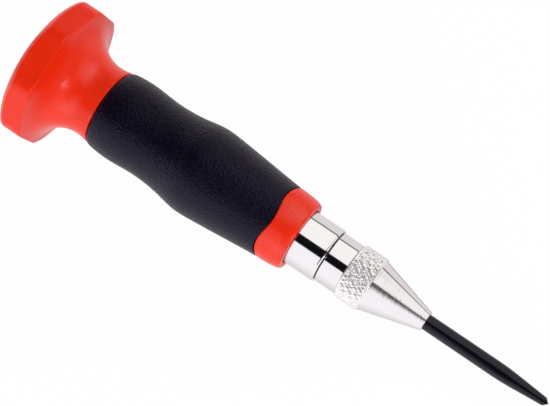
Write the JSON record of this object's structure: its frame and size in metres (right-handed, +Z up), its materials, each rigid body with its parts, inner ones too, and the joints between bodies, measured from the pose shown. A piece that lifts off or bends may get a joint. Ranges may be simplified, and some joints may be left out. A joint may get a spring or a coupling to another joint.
{
  "type": "automatic center punch",
  "caption": "Spring-loaded center punch with a black tapered point, knurled chrome nose, contoured rubber grip and a red octagonal mushroom knob that sets the blow",
  "frame": {"origin": "under the middle of the tool, on the plane of the knob's lower flat", "axes": "+X along the tool towards the point, +Z up, square to the knob's upper and lower flats"},
  "size_m": [0.16, 0.0388, 0.0388],
  "materials": {
    "red_plastic": "semi-gloss orange-red moulded plastic",
    "grip_rubber": "fine matte black soft grip",
    "chrome": "bright polished plating",
    "seal_rubber": "smooth black ring",
    "black_oxide": "satin black oxide",
    "steel": "turned steel",
    "spring_steel": "drawn wire, lightly oiled",
    "brass": "plain washer"
  },
  "bodies": {
    "handle": {"barrel": "chrome", "handle_core": "red_plastic", "grip_sleeve": "grip_rubber", "nose_cone": "chrome", "nose_o_ring": "seal_rubber", "centring_ring": "steel", "spring_washer": "steel", "retaining_ring": "spring_steel", "key_pin": "steel", "main_spring": "spring_steel", "return_spring": "spring_steel"},
    "punch": {"punch_point": "black_oxide"},
    "trip": {"trip_pin": "steel", "tilt_spring": "spring_steel"},
    "hammer_weight": {"hammer": "steel"},
    "seat": {"spring_seat": "steel", "thrust_washer": "brass"},
    "cap": {"knob": "red_plastic", "knob_insert": "steel", "cap_o_ring": "seal_rubber"}
  },
  "joints": [
    {"name": "punch_press", "type": "slide", "parent": "handle", "child": "punch", "axis": [-1, 0, 0], "range_m": [0, 0.01], "stiffness_N_per_m": 1200, "springref_m": -0.002, "deforming": ["return_spring"]},
    {"name": "hammer_cock", "type": "slide", "parent": "handle", "child": "hammer_weight", "axis": [-1, 0, 0], "range_m": [0, 0.01], "deforming": ["main_spring"]},
    {"name": "trip_tilt", "type": "hinge", "parent": "punch", "child": "trip", "pos_m": [0.02896, 0, 0.0194], "axis": [0, 1, 0], "range_deg": [0, 1.99]},
    {"name": "seat_slide", "type": "slide", "parent": "handle", "child": "seat", "axis": [-1, 0, 0], "range_m": [0, 0.00375]},
    {"name": "knob_turn", "type": "hinge", "parent": "seat", "child": "cap", "pos_m": [-0.068, 0, 0.0194], "axis": [-1, 0, 0], "range_deg": [0, 1080]}
  ],
  "couplings": [
    {"joint": "hammer_cock", "follows": "punch_press", "ratio": 1},
    {"joint": "trip_tilt", "follows": "punch_press", "rad_per_m": 3.47},
    {"joint": "seat_slide", "follows": "knob_turn", "m_per_rad": 0.00019894}
  ]
}
